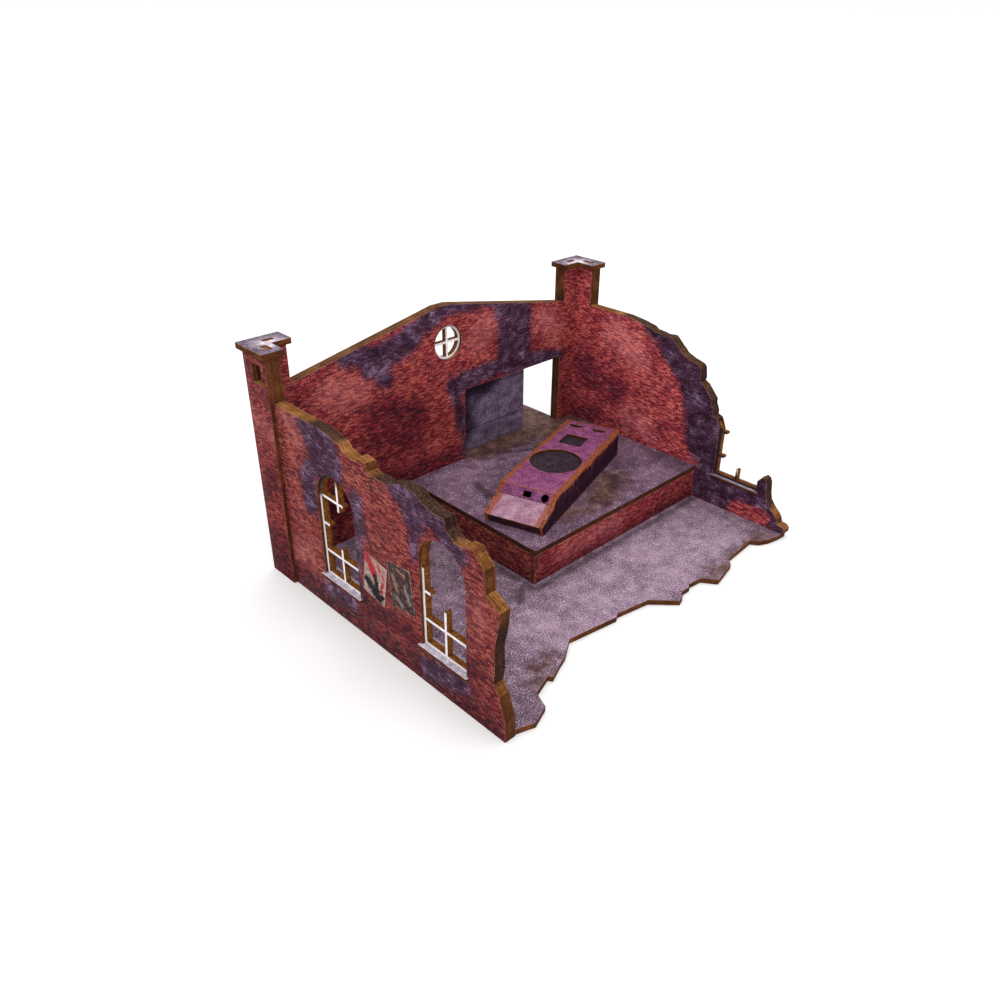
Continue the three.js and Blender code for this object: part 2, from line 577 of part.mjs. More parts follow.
function hull() {
  const { width, height, plate, gap } = HULL;
  const { keel, nose, knee, brow } = HULL_PROFILE;
  const half = width / 2;
  const inside = half - plate - gap; // half width between the side panels
  const under = height - plate; // underside of the deck

  const deckHoles = [
    disc(55, -0.3, RING_R), // turret ring
    rectangle(19, -9, 32.4, 5), // engine hatch
    airSlot(1.5, 11.4),
    airSlot(-13.4, -3.6),
  ];
  const deck = sheet(rectangle(0, -inside, brow[0], inside), plate, deckHoles, under);
  const subDeck = prism(rectangle(3, -inside, brow[0] - 3, inside), plate, under - gap - plate);

  // The steep front plate butts against the end of the deck; a visor and a gun port pierce it.
  const steep = slopeFrame(knee, brow);
  const front = crosswise([
    [brow[0] + gap, height - gap], [brow[0] + gap, 14.4],
    [knee[0] - 1.9, knee[1] + gap], [knee[0], knee[1] + gap],
  ], -inside, inside)
    .subtract(prism(rectangle(-1.9, 1.1, 2.9, 4.5), 6, -3, steep))
    .subtract(prism(disc(10.8, 2.8, 2.2), 6, -3, steep));

  // The nose plate has a tab at each side that lies in a notch of the side panel.
  const noseOutline = [[knee[0] + gap, knee[1]], [94.6, 10.6], [109.5, 5.1], nose];
  const glacis = slopeFrame(nose, knee);
  const tabs = { from: 6, to: 10 };
  const tab = (grow, sink) => prism(
    rectangle(-half, tabs.from - grow, half, tabs.to + grow), plate + sink + 2, -plate - sink, glacis);
  const bodyOfNose = crosswise(noseOutline, -inside, inside);
  const wideNose = crosswise(noseOutline, -half, half);
  const nosePlate = bodyOfNose.add(wideNose.intersect(tab(0, 1)));

  const profile = [[0, 0], keel, nose, knee, brow, [0, height]];
  const side = (y0) => crosswise(profile, y0, y0 + plate).subtract(tab(gap, gap));
  const lower = [[108.3, 5], [106.8, 5], [104.8, 0], [106.3, 0]];
  const rear = [[0, 0], [plate, 0], [plate, under - gap], [0, under - gap]];
  const parts = [
    part('hull_deck', deck, 'hull'),
    part('hull_sub_deck', subDeck, 'dark'),
    part('hull_front_plate', front, 'hull'),
    part('hull_nose_plate', nosePlate, 'hull'),
    part('hull_lower_front_plate', crosswise(lower, -inside, inside), 'dark'),
    part('hull_rear_plate', crosswise(rear, -inside, inside), 'hull'),
    part('hull_left_side', side(half - plate), 'hull'),
    part('hull_right_side', side(-half), 'hull'),
    part('hull_belly_plate',
      prism(rectangle(plate + gap, -inside, lower[2][0] - gap, inside), plate), 'dark'),
  ];
  const turn = new THREE.Euler(0, 0, Math.PI + THREE.MathUtils.degToRad(HULL.turn));
  return placed(parts, [HULL_REAR.x, HULL_REAR.y, DECK_TOP + 0.1], turn);
}

// ---------------------------------------------------------------------------------------------
// The whole ruin, moved so that the middle of its footprint is the origin
// ---------------------------------------------------------------------------------------------
const FRONT_MOST = -2.5; // foremost point of the floor plate
const ruin = placed([
  floorPlate(), leftWall(), rightWall(), backWall(), ...pillars(), ...platform(), ...dock(), ...door(),
  posters(), hull(),
], [-WIDTH / 2, -(FRONT_MOST + BACK + DOCK_DEPTH) / 2, 0]);

const terrainRuin = new THREE.Group();
terrainRuin.add(ruin);

export default terrainRuin;
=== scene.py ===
"""Looks of the miniature terrain ruin: printed board with burnt edges, a steel door and a rusty wreck."""

import json
import math

import bmesh
import bpy
from mathutils import Matrix, Vector


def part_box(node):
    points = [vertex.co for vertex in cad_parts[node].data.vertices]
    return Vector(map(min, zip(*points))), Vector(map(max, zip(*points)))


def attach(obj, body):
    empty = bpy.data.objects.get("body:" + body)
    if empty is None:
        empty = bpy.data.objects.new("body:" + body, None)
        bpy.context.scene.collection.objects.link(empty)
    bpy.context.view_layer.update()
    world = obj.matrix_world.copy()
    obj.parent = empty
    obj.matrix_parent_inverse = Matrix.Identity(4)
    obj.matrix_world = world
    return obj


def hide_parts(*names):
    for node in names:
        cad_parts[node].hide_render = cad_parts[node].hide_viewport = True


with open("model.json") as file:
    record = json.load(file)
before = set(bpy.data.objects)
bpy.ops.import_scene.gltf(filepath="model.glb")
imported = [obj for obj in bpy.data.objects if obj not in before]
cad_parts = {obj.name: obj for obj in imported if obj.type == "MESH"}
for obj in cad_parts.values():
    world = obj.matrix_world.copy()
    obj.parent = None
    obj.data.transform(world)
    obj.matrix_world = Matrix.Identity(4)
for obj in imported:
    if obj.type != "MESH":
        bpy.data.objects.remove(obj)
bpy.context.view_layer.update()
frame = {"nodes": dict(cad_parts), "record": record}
record = frame["record"]
BODY_OF = {node: body for body, nodes in record["behaviour"]["bodies"].items() for node in nodes}

MM = 0.001
# Plan millimetres count from the left wall's outer face and front foot. The frame's origin is the footprint's
# middle, which lies here in the plan.
PLAN_ORIGIN = Vector((115.0, 102.5, 0.0))


# ---------------------------------------------------------------------------------------------
# Node helpers
# ---------------------------------------------------------------------------------------------
class Graph:
    """Short names for the nodes of one tree. Values may be numbers, tuples or sockets."""

    def __init__(self, tree):
        self.tree = tree

    def add(self, kind, **settings):
        node = self.tree.nodes.new(kind)
        for key, value in settings.items():
            setattr(node, key, value)
        return node

    def put(self, socket, value):
        if isinstance(value, bpy.types.NodeSocket):
            self.tree.links.new(value, socket)
        else:
            socket.default_value = value

    def math(self, op, *values, clamp=False):
        node = self.add("ShaderNodeMath", operation=op, use_clamp=clamp)
        for socket, value in zip(node.inputs, values):
            self.put(socket, value)
        return node.outputs[0]

    def vector(self, op, *values):
        node = self.add("ShaderNodeVectorMath", operation=op)
        sockets = [node.inputs[0], node.inputs["Scale"]] if op == "SCALE" else node.inputs
        for socket, value in zip(sockets, values):
            self.put(socket, value)
        return node.outputs["Value" if op in ("DOT_PRODUCT", "LENGTH") else "Vector"]

    def join(self, x=0.0, y=0.0, z=0.0):
        node = self.add("ShaderNodeCombineXYZ")
        for socket, value in zip(node.inputs, (x, y, z)):
            self.put(socket, value)
        return node.outputs[0]

    def split(self, vector):
        node = self.add("ShaderNodeSeparateXYZ")
        self.put(node.inputs[0], vector)
        return node.outputs[0], node.outputs[1], node.outputs[2]

    def noise(self, vector, scale=1.0, detail=2.0, rough=0.5, stretch=None):
        if stretch:
            vector = self.vector("MULTIPLY", vector, stretch)
        node = self.add("ShaderNodeTexNoise", noise_dimensions="3D")
        self.put(node.inputs["Vector"], vector)
        node.inputs["Scale"].default_value = scale
        node.inputs["Detail"].default_value = detail
        node.inputs["Roughness"].default_value = rough
        return node.outputs[0]

    def random(self, vector):
        node = self.add("ShaderNodeTexWhiteNoise", noise_dimensions="3D")
        self.put(node.inputs["Vector"], vector)
        return node.outputs["Value"]

    def ease(self, value, low, high):
        """0 below low, 1 above high, smooth between. low may be above high."""
        node = self.add("ShaderNodeMapRange", interpolation_type="SMOOTHSTEP", clamp=True)
        flip = low > high
        a, b = (high, low) if flip else (low, high)
        for name, v in (("Value", value), ("From Min", a), ("From Max", b), ("To Min", 1.0 if flip else 0.0),
                        ("To Max", 0.0 if flip else 1.0)):
            self.put(node.inputs[name], v)
        return node.outputs["Result"]

    def remap(self, value, a, b, c, d):
        node = self.add("ShaderNodeMapRange", clamp=True)
        for name, v in (("Value", value), ("From Min", a), ("From Max", b), ("To Min", c), ("To Max", d)):
            self.put(node.inputs[name], v)
        return node.outputs["Result"]

    def mix(self, amount, a, b, mode="MIX"):
        node = self.add("ShaderNodeMix", data_type="RGBA", blend_type=mode)
        for index, value in ((0, amount), (6, a), (7, b)):
            if isinstance(value, tuple):
                value = (*value, 1.0)
            self.put(node.inputs[index], value)
        return node.outputs[2]

    def ramp(self, value, *stops):
        node = self.add("ShaderNodeValToRGB")
        ramp = node.color_ramp
        while len(ramp.elements) < len(stops):
            ramp.elements.new(0.5)
        for element, (place, colour) in zip(ramp.elements, stops):
            element.position = place
            element.color = (*colour, 1.0)
        self.put(node.inputs[0], value)
        return node.outputs[0]

    def weighted(self, *parts, plus=0.0):
        """The sum of value times weight over (value, weight) pairs, plus a constant."""
        total = plus
        for value, weight in parts:
            total = self.math("MULTIPLY_ADD", value, weight, total)
        return total

    def most(self, *values):
        result = values[0]
        for value in values[1:]:
            result = self.math("MAXIMUM", result, value)
        return result

    def group(self, tree, **values):
        node = self.add("ShaderNodeGroup", node_tree=tree)
        for name, value in values.items():
            self.put(node.inputs[name], value)
        return node.outputs


def new_group(name, inputs, outputs):
    tree = bpy.data.node_groups.new(name, "ShaderNodeTree")
    for label, kind in inputs:
        tree.interface.new_socket(label, in_out="INPUT", socket_type=kind)
    for label, kind in outputs:
        tree.interface.new_socket(label, in_out="OUTPUT", socket_type=kind)
    graph = Graph(tree)
    return tree, graph, graph.add("NodeGroupInput").outputs, graph.add("NodeGroupOutput").inputs


NUMBER, ARROW, COLOUR = "NodeSocketFloat", "NodeSocketVector", "NodeSocketColor"


# ---------------------------------------------------------------------------------------------
# Shared groups. Lengths are in millimetres.
# ---------------------------------------------------------------------------------------------
def make_stroke():
    """How far a point lies inside a straight brush stroke of radius R, negative outside."""
    tree, g, i, o = new_group(
        "stroke", [("P", ARROW), ("A", ARROW), ("AB", ARROW), ("D", ARROW), ("R", NUMBER)],
        [("Inside", NUMBER)])
    from_a = g.vector("SUBTRACT", i["P"], i["A"])
    along = g.math("ADD", g.vector("DOT_PRODUCT", from_a, i["D"]), 0.0, clamp=True)
    off = g.vector("SUBTRACT", from_a, g.vector("SCALE", i["AB"], along))
    g.put(o["Inside"], g.math("SUBTRACT", i["R"], g.vector("LENGTH", off)))
    return tree


STROKE = make_stroke()


SHORTEST_STROKE = 0.01
STROKE_JOIN = 4.0  # over this length two strokes melt into each other


def strokes(g, place, shapes):
    """The union of strokes (u0, v0, u1, v1, radius) in the plane of place, as one inside distance."""
    total = None
    for u0, v0, u1, v1, radius in shapes:
        a, ab = Vector((u0, v0, 0.0)), Vector((u1 - u0, v1 - v0, 0.0))
        if ab.length < SHORTEST_STROKE:
            ab = Vector((SHORTEST_STROKE, 0.0, 0.0))
        one = g.group(STROKE, P=place, A=a, AB=ab, D=ab / ab.length_squared, R=float(radius))[0]
        if total is None:
            total = one
        else:
            total = g.math("SMOOTH_MAX", total, one, STROKE_JOIN)
    return total


BRICK_HIGH, BRICK_LONG = 0.74, 2.6


def make_bricks():
    """Courses of small bricks: a random number for each brick, another one, and the mortar lines."""
    tree, g, i, o = new_group("bricks", [("P", ARROW), ("Seed", NUMBER)],
                              [("One", NUMBER), ("Two", NUMBER), ("Mortar", NUMBER)])
    drift = g.join(g.noise(i["P"], 0.25, 1.0), g.noise(i["P"], 0.3, 1.0))
    wobble = g.vector("SCALE", g.vector("SUBTRACT", drift, (0.5, 0.5, 0.0)), 0.9)
    u, v, _ = g.split(g.vector("ADD", i["P"], wobble))
    course = g.math("DIVIDE", v, BRICK_HIGH)
    row = g.math("FLOOR", course)
    shift = g.random(g.join(row, i["Seed"], 3.0))
    run = g.math("ADD", g.math("DIVIDE", u, BRICK_LONG), g.math("ADD", g.math("MULTIPLY", row, 0.5), shift))
    column = g.math("FLOOR", run)
    g.put(o["One"], g.random(g.join(column, row, i["Seed"])))
    g.put(o["Two"], g.random(g.join(column, row, g.math("ADD", i["Seed"], 17.0))))
    joint_v = g.ease(g.math("ABSOLUTE", g.math("SUBTRACT", g.math("FRACT", course), 0.5)), 0.36, 0.5)
    joint_u = g.ease(g.math("ABSOLUTE", g.math("SUBTRACT", g.math("FRACT", run), 0.5)), 0.46, 0.5)
    g.put(o["Mortar"], g.most(joint_v, g.math("MULTIPLY", joint_u, 0.8)))
    return tree


BRICKS = make_bricks()


def make_brick_print():
    """Printed brickwork. Soot, Pale and Dark are masks from 0 to 1, Tint multiplies the red."""
    tree, g, i, o = new_group(
        "brick_print", [("P", ARROW), ("Seed", NUMBER), ("Soot", NUMBER), ("Pale", NUMBER), ("Dark", NUMBER),
                        ("Tint", COLOUR)],
        [("Colour", COLOUR), ("Height", NUMBER)])
    place = i["P"]
    one, two, mortar = g.group(BRICKS, P=place, Seed=i["Seed"])
    grain = g.noise(place, 2.2, 3.0, 0.8, stretch=(0.62, 1.9, 1.0))
    broad = g.noise(place, 0.08, 5.0, 0.72)
    tone = g.weighted((one, 0.50), (grain, 2.9), (broad, 0.75), (i["Pale"], 0.14), (i["Dark"], -0.26),
                      plus=-1.545)
    brick = g.ramp(tone, (0.14, (0.024, 0.007, 0.014)), (0.34, (0.088, 0.010, 0.018)),
                   (0.53, (0.208, 0.019, 0.026)), (0.70, (0.335, 0.040, 0.043)),
                   (0.88, (0.455, 0.095, 0.076)), (1.0, (0.600, 0.215, 0.148)))
    spark = g.math("MULTIPLY", g.ease(two, 0.90, 0.96), g.ease(grain, 0.50, 0.64))
    brick = g.mix(g.math("MULTIPLY", spark, 0.60), brick, (0.78, 0.42, 0.24))
    brick = g.mix(g.math("MULTIPLY", i["Pale"], 0.20), brick, (0.46, 0.17, 0.20))
    brick = g.mix(g.math("MULTIPLY", mortar, 0.40), brick, (0.050, 0.012, 0.022))
    brick = g.mix(1.0, brick, i["Tint"], "MULTIPLY")
    cloud = g.noise(place, 0.10, 3.0, 0.6)
    ash = g.weighted((grain, 2.5), (one, 0.24), (cloud, 1.1), plus=-1.44)
    soot = g.ramp(ash, (0.22, (0.013, 0.005, 0.010)), (0.46, (0.032, 0.012, 0.027)),
                  (0.66, (0.080, 0.036, 0.077)), (0.84, (0.225, 0.130, 0.225)), (1.0, (0.490, 0.370, 0.500)))
    ember = g.math("MULTIPLY", g.ease(two, 0.70, 0.90), g.ease(cloud, 0.62, 0.42))
    soot = g.mix(g.math("MULTIPLY", ember, 0.35), soot, (0.120, 0.022, 0.030))
    g.put(o["Colour"], g.mix(i["Soot"], brick, soot))
    g.put(o["Height"], g.math("MULTIPLY", g.math("SUBTRACT", grain, mortar), 0.5))
    return tree


BRICK_PRINT = make_brick_print()


def make_ground_print():
    """Speckled printed concrete. Brown, Black and Light are masks from 0 to 1, Base is its mean colour."""
    tree, g, i, o = new_group(
        "ground_print",
        [("P", ARROW), ("Base", COLOUR), ("Brown", NUMBER), ("Black", NUMBER), ("Light", NUMBER)],
        [("Colour", COLOUR), ("Height", NUMBER)])
    place = i["P"]
    broad = g.noise(place, 0.035, 4.0, 0.62)
    cloud = g.noise(place, 0.14, 6.0, 0.72)
    fine = g.noise(place, 1.5, 4.0, 0.85)
    # Light lifts the tone: pale wear on the platform, and a painted pool of light on the floor.
    tone = g.weighted((cloud, 0.9), (broad, 0.9), (fine, 5.2), (i["Light"], 0.22), plus=-3.01)
    bright = g.ramp(tone, (0.05, (0.20, 0.17, 0.20)), (0.35, (0.56, 0.52, 0.56)), (0.60, (1.05, 1.02, 1.06)),
                    (0.95, (2.4, 2.5, 2.5)))
    colour = g.mix(1.0, i["Base"], bright, "MULTIPLY")
    cell = g.vector("FLOOR", g.vector("SCALE", place, 2.0))
    dot = g.math("MULTIPLY", g.ease(g.random(cell), 0.94, 0.98), g.ease(cloud, 0.40, 0.62))
    colour = g.mix(g.math("MULTIPLY", dot, 0.75), colour, (0.72, 0.66, 0.72))
    dirt = g.ramp(g.weighted((fine, 0.8), (cloud, 0.4)),
                  (0.42, (0.012, 0.005, 0.005)), (0.59, (0.075, 0.032, 0.027)), (0.74, (0.300, 0.180, 0.150)))
    colour = g.mix(i["Brown"], colour, dirt)
    # Black strokes go near black: char and track marks on the platform and dock, painted shade along the
    # platform's foot on the floor.
    char = g.mix(fine, (0.006, 0.003, 0.004), (0.060, 0.034, 0.042))
    colour = g.mix(g.math("MULTIPLY", i["Black"], 0.7), colour, char)
    g.put(o["Colour"], colour)
    g.put(o["Height"], fine)
    return tree


GROUND_PRINT = make_ground_print()


def make_board_edge():
    """Laser-cut board. Across runs 0 to 1 through the sheet, Up is how far it faces up, Char is burning. Wood
    and char that face up are painted lighter: painted light from above.
    """
    tree, g, i, o = new_group(
        "board_edge", [("P", ARROW), ("Across", NUMBER), ("Up", NUMBER), ("Char", NUMBER)],
        [("Colour", COLOUR), ("Height", NUMBER)])
    place = i["P"]
    streak = g.noise(place, 1.3, 3.0, 0.65)
    fibre = g.noise(place, 4.0, 2.0, 0.6)
    patch = g.noise(place, 0.13, 3.0, 0.6)
    # Edges turned up are painted lighter: painted light from above.
    painted_top_light = g.ease(i["Up"], 0.25, 0.8)
    tone = g.weighted((streak, 0.60), (patch, 0.70), (fibre, 0.30), (painted_top_light, 0.30), plus=-0.35)
    wood = g.ramp(tone, (0.12, (0.014, 0.005, 0.003)), (0.40, (0.062, 0.018, 0.007)),
                  (0.66, (0.150, 0.052, 0.015)), (0.95, (0.400, 0.180, 0.060)))
    rim = g.ease(g.math("ABSOLUTE", g.math("SUBTRACT", i["Across"], 0.5)), 0.38, 0.5)
    wood = g.mix(g.math("MULTIPLY", rim, 0.55), wood, (0.014, 0.006, 0.004))
    # The char is also painted lighter where it faces up: painted light from above.
    ash = g.ramp(g.weighted((streak, 1.0), (i["Up"], 0.10)), (0.36, (0.006, 0.003, 0.003)),
                 (0.58, (0.024, 0.011, 0.010)), (0.80, (0.105, 0.062, 0.050)))
    g.put(o["Colour"], g.mix(g.math("MULTIPLY", i["Char"], 0.92), wood, ash))
    g.put(o["Height"], streak)
    return tree


BOARD_EDGE = make_board_edge()


# ---------------------------------------------------------------------------------------------
# Prints. Each takes the graph and the place in plan millimetres, and gives colour and height.
# ---------------------------------------------------------------------------------------------
# Soot strokes are (u0, v0, u1, v1, radius): u runs along the wall, v up.
LEFT_SOOT = [
    (126, 103, 117, 86, 13), (134, 70, 134, 58, 7), (131, 78, 113, 84, 6), (96, 76, 95, 62, 5),
    (96, 62, 97, 44, 3), (99, 44, 100, 24, 3), (66, 97, 54, 84, 7), (54, 92, 34, 90, 7), (55, 80, 55, 66, 3),
    (36, 84, 27, 80, 5), (28, 15, 48, 9, 6), (106, 14, 128, 12, 4),
]
LEFT_PALE = [(146, 98, 136, 92, 6), (150, 24, 138, 28, 5), (16, 62, 14, 54, 3)]
LEFT_DARK = [(10, 4, 170, 4, 9), (18, 30, 28, 14, 6), (60, 20, 120, 22, 6)]
BACK_SOOT = [
    (50, 109, 72, 103, 6), (66, 100, 90, 108, 8), (72, 91, 74, 90, 5), (92, 110, 112, 119, 6),
    (112, 121, 150, 118, 5), (164, 112, 172, 104, 11), (170, 102, 170, 82, 14), (170, 76, 208, 68, 6),
    (165, 76, 122, 73, 6), (122, 72, 127, 46, 4), (128, 46, 129, 28, 2),
]
BACK_OUTER_SOOT = BACK_SOOT[5:9] + [(122, 76, 60, 79, 4)]
BACK_PALE = [(40, 92, 56, 88, 8), (140, 96, 148, 104, 8), (196, 96, 204, 88, 8)]
BACK_DARK = [(66, 72, 92, 64, 9), (66, 58, 88, 52, 6), (10, 30, 120, 24, 8)]
RIGHT_SOOT = [
    (112, 101, 94, 90, 5), (94, 90, 78, 76, 8), (76, 76, 68, 60, 11), (68, 60, 64, 40, 13),
    (62, 40, 56, 20, 9), (60, 14, 20, 14, 12), (22, 30, 18, 16, 8), (16, 12, 4, 4, 6),
]
RIGHT_RED = [(36, 7, 20, 8, 5)]
RIGHT_PALE = [(136, 90, 118, 80, 8), (122, 38, 104, 33, 5)]
RIGHT_DARK = [(160, 60, 134, 50, 9), (150, 30, 165, 26, 6)]


def masked(g, place, shapes, soft=3.0, ragged=9.0, scale=0.16):
    """A mask from strokes. Its rim is soft and ragged by these many millimetres."""
    if not shapes:
        return 0.0
    rim = g.noise(place, scale, 5.0, 0.66)
    fuzz = g.noise(place, 1.5, 2.0, 0.6)
    swing, shake = ragged * 2, soft * 2.4
    inside = g.weighted((strokes(g, place, shapes), 1.0), (rim, swing), (fuzz, shake),
                        plus=-(swing + shake) / 2)
    return g.ease(inside, -soft, soft)


def bricks(axis, soot=(), pale=(), dark=(), red=(), seed=1.0, tint=(1.0, 1.0, 1.0)):
    """A brick print on a face across the given axis (0 is X, 1 is Y)."""

    def paint(g, place):
        x, y, z = g.split(place)
        flat = g.join(y if axis == 0 else x, z, 0.0)
        blackened = masked(g, flat, soot, 2.8, 4.2)
        if red:
            blackened = g.math("MULTIPLY", blackened, g.math("SUBTRACT", 1.0, masked(g, flat, red, 2.0, 4.0)))
        out = g.group(BRICK_PRINT, P=flat, Seed=float(seed), Soot=blackened,
                      Pale=masked(g, flat, pale, 7.0, 12.0), Dark=masked(g, flat, dark, 5.0, 14.0),
                      Tint=(*tint, 1.0))
        return out["Colour"], out["Height"]

    return paint


def ground(base, brown=(), black=(), light=()):
    """A concrete print on a horizontal sheet, with strokes of brown dirt, of black and of pale. Black is char
    and track marks on the platform and dock, and painted shade along the platform's foot on the floor; pale
    is wear on the platform, and a painted pool of light on the floor.
    """

    def paint(g, place):
        x, y, _ = g.split(place)
        flat = g.join(x, y, 0.0)
        out = g.group(GROUND_PRINT, P=flat, Base=(*base, 1.0),
                      Brown=masked(g, flat, brown, 7.0, 16.0, 0.12),
                      Black=masked(g, flat, black, 2.4, 4.0, 0.2),
                      Light=masked(g, flat, light, 14.0, 20.0, 0.1))
        return out["Colour"], out["Height"]

    return paint


# On the floor the black strokes are painted shade along the foot of the platform, and the light strokes are a
# painted pool of light on the open middle of the floor.
FLOOR = ground((0.190, 0.128, 0.170), brown=[(215, 12, 160, 8, 3), (34, 16, 50, 24, 2)],
               black=[(70, 62, 80, 70, 2), (83, 66, 83, 160, 2), (84, 64, 220, 64, 1.5)],
               light=[(70, 30, 200, 40, 24), (120, 30, 150, 50, 14)])
PLATFORM = ground(
    (0.135, 0.078, 0.118), brown=[(140, 174, 220, 168, 13), (205, 165, 185, 146, 14), (176, 92, 150, 80, 8),
                                  (120, 84, 138, 76, 4)],
    black=[(138, 166, 172, 158, 1.4), (150, 160, 186, 140, 1.6), (178, 92, 168, 84, 3), (150, 74, 146, 82, 2),
           (112, 140, 108, 126, 2), (180, 112, 120, 92, 4)],
    light=[(100, 150, 124, 150, 10), (200, 80, 216, 110, 6), (92, 110, 94, 84, 5)])
DOCK = ground((0.110, 0.062, 0.066), brown=[(140, 180, 205, 182, 16), (150, 200, 190, 198, 12)],
              black=[(150, 176, 160, 200, 2), (186, 178, 192, 200, 2)])


DOOR_SEAMS_UP, DOOR_SEAMS_ALONG = (37.5, 63.0), (108.0, 135.5, 163.0)
# Painted shade: strokes along the door's top under the lintel and down its left side by the jamb.
DOOR_LINTEL_SHADE = [(126, 70, 150, 70, 10), (130, 66, 130, 40, 8)]


def door_print(g, place):
    """Painted steel sheets with seams, with painted shade towards the top left under the lintel and beside
    the left jamb.
    """
    x, y, z = g.split(place)
    flat = g.join(x, z, 0.0)
    cloud = g.noise(flat, 0.14, 5.0, 0.68)
    fine = g.noise(flat, 1.6, 4.0, 0.82)
    # Painted shade from the lintel and the left jamb darkens the tone here.
    lintel_shade = g.ease(strokes(g, flat, DOOR_LINTEL_SHADE), -9.0, 4.0)
    tone = g.weighted((cloud, 1.0), (fine, 2.6), (lintel_shade, -0.48), plus=-1.22)
    colour = g.ramp(tone, (0.18, (0.016, 0.009, 0.018)), (0.42, (0.056, 0.034, 0.066)),
                    (0.60, (0.125, 0.084, 0.150)), (0.90, (0.330, 0.260, 0.370)))
    rust = g.math("MULTIPLY", g.ease(g.noise(flat, 0.5, 4.0, 0.7, stretch=(2.0, 0.4, 1.0)), 0.56, 0.70), 0.40)
    colour = g.mix(rust, colour, (0.150, 0.060, 0.045))
    seams = [g.ease(g.math("ABSOLUTE", g.math("SUBTRACT", z, h)), 0.38, 0.12) for h in DOOR_SEAMS_UP]
    seams += [g.ease(g.math("ABSOLUTE", g.math("SUBTRACT", x, w)), 0.34, 0.10) for w in DOOR_SEAMS_ALONG]
    line = g.most(*seams)
    colour = g.mix(g.math("MULTIPLY", line, 0.85), colour, (0.012, 0.007, 0.012))
    return colour, g.math("SUBTRACT", fine, line)


def frame_paint(smoke=()):
    """Off-white print, worn and a little dirty, black where the smoke strokes pass."""

    def paint(g, place):
        _, y, z = g.split(place)
        fine = g.noise(place, 1.6, 4.0, 0.7)
        patch = g.noise(place, 0.3, 3.0, 0.6)
        colour = g.ramp(g.weighted((fine, 0.6), (patch, 0.5)),
                        (0.25, (0.26, 0.20, 0.20)), (0.42, (0.58, 0.52, 0.54)), (0.62, (0.84, 0.80, 0.82)))
        black = masked(g, g.join(y, z, 0.0), smoke, 2.0, 3.0)
        return g.mix(black, colour, g.mix(fine, (0.008, 0.004, 0.006), (0.070, 0.040, 0.050))), fine

    return paint


def frame_edge(g, place):
    """Golden brown cut edges of the window frames."""
    streak = g.noise(place, 1.1, 3.0, 0.6)
    colour = g.ramp(streak, (0.32, (0.048, 0.014, 0.003)), (0.52, (0.145, 0.048, 0.009)),
                    (0.72, (0.300, 0.120, 0.030)))
    return colour, streak


def sill_paint(light):
    """Lavender-grey stone with pale flecks; light is 1 outdoors and less in the room."""

    def paint(g, place):
        fine = g.noise(place, 2.4, 4.0, 0.75)
        patch = g.noise(place, 0.25, 3.0, 0.6)
        tone = g.weighted((fine, 0.8), (patch, 0.4), plus=(light - 1.0) * 0.25)
        colour = g.ramp(tone, (0.36, (0.10, 0.075, 0.11)), (0.56, (0.36, 0.31, 0.38)),
                        (0.76, (0.78, 0.75, 0.80)))
        return colour, fine

    return paint


def cap_paint(mirror):
    """Stone print, whitest towards the inner elbow."""

    def paint(g, place):
        x, y, _ = g.split(place)
        flat = g.join(x, y, 0.0)
        elbow = (222.0, 167.5) if mirror else (8.0, 167.5)
        near = g.vector("LENGTH", g.vector("SUBTRACT", flat, (*elbow, 0.0)))
        fine = g.noise(flat, 1.2, 4.0, 0.75)
        cloud = g.noise(flat, 0.22, 4.0, 0.65)
        whiter_near_elbow = g.ease(near, 13.0, 1.0)
        tone = g.weighted((cloud, 0.9), (fine, 0.9), (whiter_near_elbow, 0.42), plus=-0.45)
        colour = g.ramp(tone, (0.25, (0.040, 0.024, 0.042)), (0.50, (0.160, 0.115, 0.165)),
                        (0.72, (0.400, 0.330, 0.400)), (0.95, (0.820, 0.780, 0.820)))
        return colour, fine

    return paint


POSTER_HALF_WIDE, POSTER_HALF_HIGH = 8.1, 11.4


